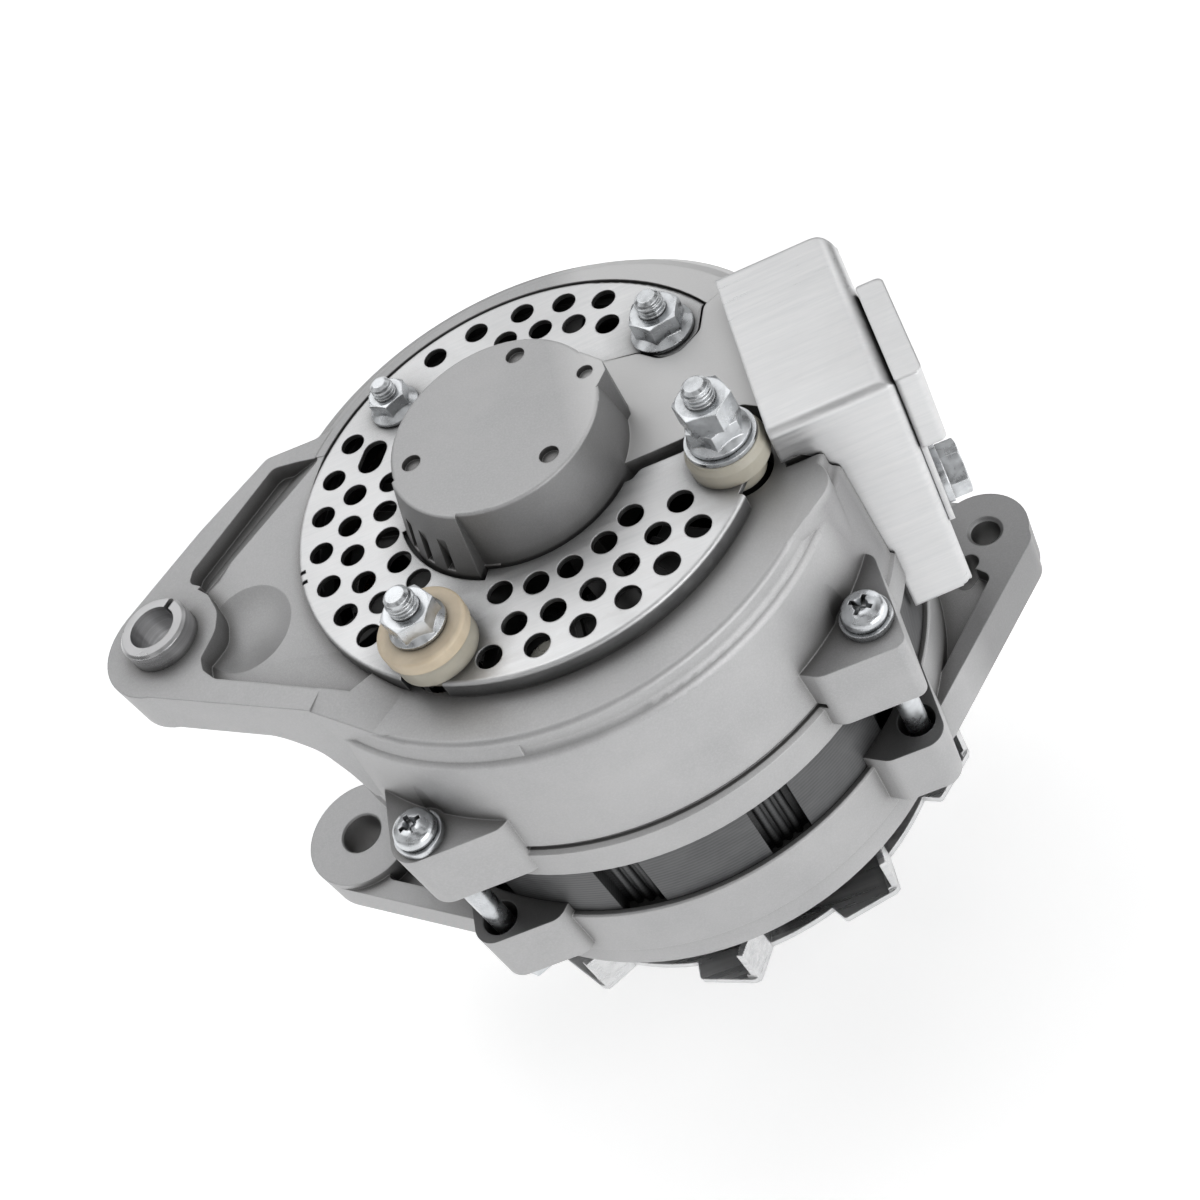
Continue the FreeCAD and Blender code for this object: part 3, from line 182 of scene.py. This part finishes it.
    def upright(self):
        """1 on faces that look sideways from the shaft, 0 on faces that look along it."""
        geo = self.n("ShaderNodeNewGeometry")
        sep = self.n("ShaderNodeSeparateXYZ")
        self.link(geo.outputs["Normal"], sep.inputs[0])
        return self.remap(self.math("ABSOLUTE", sep.outputs[2]), 1.0, 0.0, 0.25, 0.7)

    def bump(self, heights, normal=None):
        """heights: list of (socket, distance in metres, strength)."""
        last = normal
        for h, d, s in heights:
            nd = self.n("ShaderNodeBump")
            nd.inputs["Strength"].default_value = s
            nd.inputs["Distance"].default_value = d
            self.link(h, nd.inputs["Height"])
            if last is not None:
                self.link(last, nd.inputs["Normal"])
            last = nd.outputs["Normal"]
        self.link(last, self.b.inputs["Normal"])

    def base(self, color, rough, metallic=0.0, **other):
        self.put(self.b.inputs["Base Color"], color if isinstance(color, bpy.types.NodeSocket) else (*color, 1))
        self.put(self.b.inputs["Roughness"], rough)
        self.b.inputs["Metallic"].default_value = metallic
        for k, v in other.items():
            self.b.inputs[k].default_value = v
        return self.m


def cast_aluminium(name, tone=1.0, warm=0.0):
    s = Mat(name)
    grain = s.noise(2600, 2.0, 0.6)
    blast = s.voronoi(1500)
    cloud = s.noise(42, 5.0, 0.6)
    flow = s.noise(14, 4.0, 0.7, dist=0.6)
    c = s.mix(s.remap(cloud, 0.0, 1.0, 0.32, 0.70), (0.43 * tone, 0.432 * tone, 0.438 * tone), (0.54 * tone + warm, 0.54 * tone, 0.545 * tone))
    c = s.mix(s.remap(flow, 0.0, 0.35, 0.50, 0.68), c, (0.48 * tone, 0.48 * tone, 0.48 * tone))
    c = s.mix(s.remap(grain, 0.0, 0.30, 0.40, 0.75), c, (0.66 * tone, 0.66 * tone, 0.67 * tone))
    # painted shade: darker in narrow creases, and darker still in wide gaps and under parts
    near_crevice_shade = s.painted_crevice_shade(0.003, 0.40, 1.0)
    c = s.mix(near_crevice_shade, (0.22, 0.215, 0.21), c)
    c = s.mix(s.painted_crevice_shade(0.014, 0.30, 1.15), (0.11, 0.108, 0.106), c)
    rad, up, px, py = s.place()
    # painted highlight: rounded edges are blended towards light grey
    edge = s.math("MULTIPLY", s.edge(0.00045), 0.30)
    # painted shade on the flank of the centre boss, deepening towards the top and darker than its turned end; the
    # painted edge highlight is taken off the flank
    boss_flank_shade = s.math("MULTIPLY", s.remap(rad, 1.0, 0.0, 27.0, 28.0), s.math("MULTIPLY", s.upright(), s.remap(up, 0.0, 1.0, -7.0, -5.5)))
    shade = s.remap(up, 0.30, 0.42, -2.0, 11.0)
    c = s.mix(s.math("MULTIPLY", boss_flank_shade, shade), c, (0.055, 0.055, 0.055))
    edge = s.math("MULTIPLY", edge, s.math("SUBTRACT", 1.0, boss_flank_shade))
    c = s.mix(edge, c, (0.88, 0.88, 0.89))
    # painted shade on the webs below the perforated plate, blended almost to black
    under_plate_shade = s.math("MULTIPLY", s.remap(rad, 1.0, 0.0, 48.6, 49.6), s.remap(up, 1.0, 0.0, -6.4, -5.6))
    c = s.mix(s.math("MULTIPLY", under_plate_shade, 0.86), c, (0.020, 0.020, 0.020))
    # painted shadow in the corner behind the regulator cover's leg
    cover_leg_shadow = s.math("MULTIPLY", s.remap(px, 0.0, 1.0, 49.5, 53.5), s.math("MULTIPLY", s.remap(py, 1.0, 0.0, -26.0, -24.5), s.remap(py, 0.0, 1.0, -39.0, -34.5)))
    cover_leg_shadow = s.math("MULTIPLY", cover_leg_shadow, s.math("MULTIPLY", s.remap(up, 1.0, 0.0, -9.0, -7.0), s.remap(up, 0.0, 1.0, -44.0, -36.0)))
    c = s.mix(s.math("MULTIPLY", cover_leg_shadow, 0.30), c, (0.060, 0.056, 0.060))
    # painted shadow on the faces that look along the shaft between the two housings, beside the stator
    between_housings_shadow = s.math("MULTIPLY", s.remap(up, 0.0, 1.0, -68.5, -66.8), s.remap(up, 1.0, 0.0, -64.0, -60.0))
    between_housings_shadow = s.math("MULTIPLY", between_housings_shadow, s.math("SUBTRACT", 1.0, s.upright()))
    c = s.mix(s.math("MULTIPLY", between_housings_shadow, 0.62), c, (0.030, 0.030, 0.030))
    # painted light: the bridge's up-facing faces are blended lighter; painted shade: the adjusting ear's top and sides
    # are blended darker
    bridge_painted_light = s.math("MULTIPLY", s.math("SUBTRACT", 1.0, s.upright()), s.math("MULTIPLY", s.remap(px, 0.0, 1.0, 14.0, 22.0), s.remap(up, 0.0, 1.0, -7.0, -5.0)))
    c = s.mix(s.math("MULTIPLY", bridge_painted_light, 0.75), c, (0.62, 0.62, 0.62))
    ear_painted_shade = s.math("MULTIPLY", s.remap(px, 0.0, 1.0, 64.0, 72.0), s.math("MULTIPLY", s.remap(up, 1.0, 0.0, -78.0, -76.0), s.math("MAXIMUM", s.upright(), s.remap(up, 0.0, 1.0, -82.3, -81.9))))
    c = s.mix(s.math("MULTIPLY", ear_painted_shade, 0.40), c, (0.05, 0.05, 0.05))
    rough = s.remap(cloud, 0.40, 0.56, 0.25, 0.75)
    s.bump([(flow, 0.00018, 0.35), (cloud, 0.00007, 0.35), (grain, 0.000030, 0.55), (blast, 0.000020, 0.5)], s.bevel(0.0005))
    return s.base(c, rough, 0.6)


def machined_face(name):
    """Cast metal that has been turned: fine rings about the shaft."""
    s = Mat(name)
    rings = s.wave(900, kind="RINGS", axis="Z", dist=0.6, detail=2.0)
    cloud = s.noise(60, 4.0)
    c = s.mix(s.remap(cloud, 0.0, 1.0, 0.3, 0.7), (0.60, 0.605, 0.615), (0.74, 0.74, 0.75))
    c = s.mix(s.remap(rings, 0.0, 0.25), c, (0.84, 0.84, 0.85))
    s.bump([(rings, 0.00001, 0.35), (cloud, 0.00003, 0.2)], s.bevel(0.0004))
    return s.base(c, s.remap(cloud, 0.30, 0.42), 0.95)


def brushed_sheet(name, tone, rough, axis, scale=900, spots=0.3, bevel=0.0004, wide_shade=1.0, side=1.0, edge_highlight_gain=0.4, low=0.72, pull=0.03):
    """Bright sheet with rolled streaks along one axis, faint scratches and dull patches."""
    s = Mat(name)
    squeeze = {"X": (pull, 1, 1), "Y": (1, pull, 1), "Z": (1, 1, pull)}[axis]
    streak = s.noise(scale, 4.0, 0.7, s.mapped(squeeze))
    fine = s.noise(scale * 3.1, 2.0, 0.6, s.mapped(squeeze, loc=(0.3, 0.1, 0.7)))
    wide = s.noise(scale * 0.16, 3.0, 0.6, s.mapped(tuple(min(1.0, 3 * q) for q in squeeze)))
    cloud = s.noise(38, 4.0, 0.65, dist=0.4)
    nick = s.voronoi(210, s.mapped(tuple(min(1.0, 4 * q) for q in squeeze), rot=(0.1, 0.05, 0.2)))
    c = s.mix(s.remap(streak, 0.0, 1.0, 0.30, 0.72), (tone * low, tone * (low + 0.01), tone * (low + 0.02)), (tone, tone, tone * 1.005))
    c = s.mix(s.remap(cloud, 0.0, spots, 0.48, 0.75), c, (tone * 0.70, tone * 0.70, tone * 0.70))
    # painted shade: darker in creases, and with wide_shade also in wider gaps and under parts
    c = s.mix(s.painted_crevice_shade(0.002, 0.25, 0.95), (0.22, 0.22, 0.22), c)
    if wide_shade < 1.0:
        c = s.mix(s.painted_crevice_shade(0.009, wide_shade, 1.10), (0.10, 0.10, 0.10), c)
    # painted shade: faces that look sideways from the shaft are blended towards near black
    if side < 1.0:
        c = s.mix(s.math("MULTIPLY", s.upright(), 1.0 - side), c, (0.03, 0.03, 0.03))
    # painted highlight: edges are blended towards near white
    c = s.mix(s.math("MULTIPLY", s.edge(0.0004 if bevel < 0.0009 else 0.0009), edge_highlight_gain), c, (0.95, 0.95, 0.96))
    r = s.math("ADD", s.remap(streak, rough - 0.08, rough + 0.12, 0.3, 0.7), s.remap(cloud, -0.03, 0.08, 0.35, 0.7))
    s.bump([(wide, 0.00012, 0.25), (streak, 0.00002, 0.45), (fine, 0.00001, 0.35), (nick, 0.00002, 0.15)], s.bevel(bevel))
    return s.base(c, r, 1.0)


def zinc(name, tone=0.80, rough=0.24, tint=(0.97, 1.0, 1.03), grime=0.35):
    s = Mat(name)
    cloud = s.noise(260, 4.0, 0.6)
    fine = s.noise(2400, 2.0, 0.6)
    c = s.mix(s.remap(cloud, 0.0, 1.0, 0.3, 0.75), (tone * 0.62 * tint[0], tone * 0.62 * tint[1], tone * 0.62 * tint[2]), (tone * tint[0], tone * tint[1], tone * tint[2]))
    # painted shade in creases
    c = s.mix(s.painted_crevice_shade(0.0014, 0.20, 0.9), (0.10, 0.10, 0.10), c)
    # painted highlight: edges are blended towards near white
    c = s.mix(s.math("MULTIPLY", s.edge(0.0003), 0.5), c, (0.95, 0.96, 0.97))
    r = s.remap(cloud, rough - 0.07, rough + 0.16, 0.3, 0.7)
    s.bump([(cloud, 0.00004, 0.35), (fine, 0.00001, 0.4)], s.bevel(0.0003))
    return s.base(c, r, 1.0)


def turned(name, tone=0.66, rough=0.26):
    s = Mat(name)
    rings = s.noise(1400, 3.0, 0.6, s.mapped((0.02, 0.02, 1)))
    cloud = s.noise(90, 4.0)
    c = s.mix(s.remap(rings, 0.0, 1.0, 0.3, 0.7), (tone * 0.68, tone * 0.68, tone * 0.69), (tone, tone, tone * 1.01))
    # painted shade in creases
    c = s.mix(s.painted_crevice_shade(0.002, 0.25, 0.95), (0.12, 0.12, 0.12), c)
    s.bump([(rings, 0.00002, 0.4), (cloud, 0.00002, 0.2)], s.bevel(0.0003))
    return s.base(c, s.remap(cloud, rough - 0.05, rough + 0.12, 0.3, 0.7), 1.0)


def laminations(name):
    """Stack of thin varnished sheets, seen as fine lines across the shaft."""
    s = Mat(name)
    lines = s.wave(320, kind="BANDS", axis="Z", dist=0.25, detail=1.0)
    cloud = s.noise(75, 5.0, 0.65, dist=0.5)
    fine = s.noise(1500, 2.0)
    c = s.mix(s.remap(cloud, 0.0, 1.0, 0.3, 0.75), (0.065, 0.067, 0.070), (0.150, 0.152, 0.155))
    c = s.mix(s.remap(lines, 0.0, 0.22), c, (0.20, 0.20, 0.205))
    # painted shade: darker in creases and almost black in wider gaps and under the housings
    c = s.mix(s.painted_crevice_shade(0.003, 0.1, 0.9), (0.015, 0.015, 0.015), c)
    c = s.mix(s.painted_crevice_shade(0.012, 0.10, 1.2), (0.010, 0.010, 0.010), c)
    s.bump([(lines, 0.00005, 0.5), (cloud, 0.0001, 0.2), (fine, 0.00002, 0.4)], s.bevel(0.0003))
    return s.base(c, s.remap(cloud, 0.34, 0.55, 0.3, 0.7), 0.55)


def moulded(name, light, dark, rough=0.5, sss=0.0, metallic=0.0):
    s = Mat(name)
    cloud = s.noise(120, 5.0, 0.6, dist=0.3)
    fine = s.noise(1900, 3.0)
    c = s.mix(s.remap(cloud, 0.0, 1.0, 0.3, 0.7), dark, light)
    # painted shade in creases
    c = s.mix(s.painted_crevice_shade(0.0018, 0.35, 0.95), tuple(0.35 * q for q in dark), c)
    s.bump([(cloud, 0.00005, 0.3), (fine, 0.00002, 0.5)], s.bevel(0.0004))
    m = s.base(c, s.remap(cloud, rough - 0.08, rough + 0.12, 0.3, 0.7), metallic)
    if sss:
        s.b.inputs["Subsurface Weight"].default_value = sss
        s.b.inputs["Subsurface Radius"].default_value = (0.004, 0.003, 0.002)
        s.b.inputs["Subsurface Scale"].default_value = 0.5
    return m


def windings(name):
    s = Mat(name)
    strands = s.wave(420, kind="RINGS", axis="Z", dist=2.0, detail=2.0)
    cloud = s.noise(150, 4.0)
    c = s.mix(strands, (0.14, 0.035, 0.012), (0.62, 0.24, 0.09))
    c = s.mix(s.remap(cloud, 0.0, 0.5, 0.4, 0.7), c, (0.30, 0.12, 0.04))
    s.bump([(strands, 0.0003, 0.8)])
    return s.base(c, s.remap(cloud, 0.22, 0.4), 0.7)


M = {
    "cast_aluminium": cast_aluminium("cast_aluminium"),
    "laminations": laminations("laminations"),
    "winding_copper": windings("winding_copper"),
    "plate_sheet": brushed_sheet("plate_sheet", 0.83, 0.40, "X", 760, 0.22, wide_shade=0.50, side=0.75, low=0.80, pull=0.06),
    "cover_sheet": brushed_sheet("cover_sheet", 0.72, 0.35, "X", 900, 0.14, 0.0010, edge_highlight_gain=0.6, low=0.86, pull=0.07),
    "zinc_steel": zinc("zinc_steel"),
    "cream_insulator": moulded("cream_insulator", (0.45, 0.43, 0.365), (0.35, 0.325, 0.27), 0.36, 0.15),
    "tan_insulator": moulded("tan_insulator", (0.62, 0.53, 0.40), (0.48, 0.40, 0.29), 0.40, 0.15),
    "dark_plastic": moulded("dark_plastic", (0.035, 0.035, 0.036), (0.016, 0.016, 0.017), 0.45),
    "brush_carbon": moulded("brush_carbon", (0.05, 0.05, 0.05), (0.025, 0.025, 0.025), 0.6, 0.0, 0.3),
    "slip_ring_copper": turned("slip_ring_copper", 0.62, 0.2),
    "bearing_steel": zinc("bearing_steel", 0.72, 0.14, (1, 1, 1)),
    "spring_steel": zinc("spring_steel", 0.5, 0.3, (1, 1, 1)),
    "machined_steel": turned("machined_steel", 0.64, 0.28),
    "pole_steel": laminations("pole_steel"),
    "sink_aluminium": brushed_sheet("sink_aluminium", 0.10, 0.45, "X", 600, 0.4),
    "diode_can": zinc("diode_can", 0.5, 0.3, (1.02, 1.0, 0.9)),
    "fan_steel": brushed_sheet("fan_steel", 0.80, 0.26, "X", 420, 0.3),
    "pulley_steel": turned("pulley_steel", 0.62, 0.3),
}

slot_of = {s["node"]: s["material_slot"] for s in frame["record"]["subparts"]}
for name, obj in nodes.items():
    mat = M[slot_of[name]]
    if not obj.material_slots:
        obj.data.materials.append(mat)
    for sl in obj.material_slots:
        sl.material = mat


# ---------------------------------------------------------------- floor, light, camera
lo, hi = cad_lo, cad_hi
mid = (Vector(lo) + Vector(hi)) / 2


def floor_piece():
    """Large pale floor, gently dished far away so that no edge shows."""
    n, size = 24, 6.0
    verts, faces = [], []
    for j in range(n + 1):
        for i in range(n + 1):
            x, y = (i / n - 0.5) * size, (j / n - 0.5) * size
            r = math.hypot(x, y)
            verts.append((mid.x + x, mid.y + y, lo[2] - 0.0005 + max(0.0, r - 1.6) ** 2 * 0.02))
    for j in range(n):
        for i in range(n):
            a = j * (n + 1) + i
            faces.append((a, a + 1, a + n + 2, a + n + 1))
    me = bpy.data.meshes.new("floor")
    me.from_pydata(verts, [], faces)
    o = bpy.data.objects.new("floor", me)
    bpy.context.collection.objects.link(o)
    for p in me.polygons:
        p.use_smooth = True
    s = Mat("floor_paper")
    cloud = s.noise(3.0, 3.0)
    fine = s.noise(600, 3.0)
    c = s.mix(s.remap(cloud, 0.0, 1.0, 0.3, 0.7), (0.93, 0.93, 0.93), (0.96, 0.96, 0.96))
    s.bump([(fine, 0.00003, 0.2)])
    s.base(c, s.remap(fine, 0.75, 0.9), 0.0, **{"Emission Color": (1, 1, 1, 1), "Emission Strength": 0.38})
    o.data.materials.append(s.m)
    return o


floor_piece()

CAM_POS = Vector((0.15276, -0.25033, 0.32602))
RIGHT = Vector((0.90797, -0.16717, -0.38424))
DOWN = Vector((-0.37528, -0.73236, -0.56817))
AHEAD = Vector((-0.18642, 0.66008, -0.7277))
cam = bpy.data.cameras.new("camera")
cam_obj = bpy.data.objects.new("camera", cam)
bpy.context.collection.objects.link(cam_obj)
cam.sensor_width = 36.0
cam.sensor_fit = "HORIZONTAL"
cam.lens = 1766.08198 * 36.0 / 1200.0
cam.shift_x = 1.048 / 1200.0
cam.shift_y = 0.936 / 1200.0
cam.clip_start, cam.clip_end = 0.01, 20.0
rot = Matrix((RIGHT, -DOWN, -AHEAD)).transposed()
cam_obj.matrix_world = Matrix.Translation(CAM_POS) @ rot.to_4x4()
scene.camera = cam_obj

UP = -DOWN
BACK = -AHEAD


def area(name, direction, dist, size, power, colour=(1, 1, 1), aim=None):
    """Soft box placed by a direction given as right, up and back of the camera."""
    d = (RIGHT * direction[0] + UP * direction[1] + BACK * direction[2]).normalized()
    li = bpy.data.lights.new(name, "AREA")
    li.shape = "RECTANGLE"
    li.size, li.size_y = size
    li.energy = power
    li.color = colour
    o = bpy.data.objects.new(name, li)
    bpy.context.collection.objects.link(o)
    target = aim or mid
    pos = target + d * dist
    o.location = pos
    o.rotation_mode = "QUATERNION"
    o.rotation_quaternion = (target - pos).to_track_quat("-Z", "Y")
    return o


area("key", (0.62, -0.28, 0.74), 1.3, (1.0, 0.8), 7.2)
area("side", (0.95, 0.50, 0.45), 1.3, (0.9, 0.9), 3.4)
area("top", (-0.35, 0.95, 0.30), 1.4, (1.6, 1.2), 5.2)
area("left", (-0.95, 0.55, 0.30), 1.3, (0.8, 1.0), 2.2)

world = bpy.data.worlds.new("studio")
scene.world = world
world.use_nodes = True
wt = world.node_tree
bg = wt.nodes["Background"]
bg.inputs["Strength"].default_value = 0.52
# soft boxes and dark gaps between them, for the bright metal to mirror
wco = wt.nodes.new("ShaderNodeTexCoord")
wave = wt.nodes.new("ShaderNodeTexWave")
wave.wave_type, wave.bands_direction = "BANDS", "DIAGONAL"
wave.inputs["Scale"].default_value = 0.85
wave.inputs["Distortion"].default_value = 2.0
wave.inputs["Detail"].default_value = 1.0
wt.links.new(wco.outputs["Generated"], wave.inputs["Vector"])
wr = wt.nodes.new("ShaderNodeValToRGB")
for e, (q, v) in zip(wr.color_ramp.elements, ((0.30, 0.25), (0.62, 1.55))):
    e.position = q
    e.color = (v, v, v, 1)
wt.links.new(wave.outputs["Fac"], wr.inputs["Fac"])
wt.links.new(wr.outputs["Color"], bg.inputs["Color"])

scene.view_settings.view_transform = "Standard"
scene.view_settings.look = "None"
scene.view_settings.exposure = 0.0

# each brush spring is copied into its own coil object and the CAD spring is hidden
for side, z in (("upper", 0.0758), ("lower", 0.0658)):
    cad = bpy.data.objects[side + "_brush_spring"]
    coil = bpy.data.objects.new(side + "_brush_coil", cad.data.copy())
    bpy.context.collection.objects.link(coil)
    coil.matrix_world = cad.matrix_world.copy()
    bpy.context.view_layer.update()
    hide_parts(side + "_brush_spring")
    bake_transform(coil)
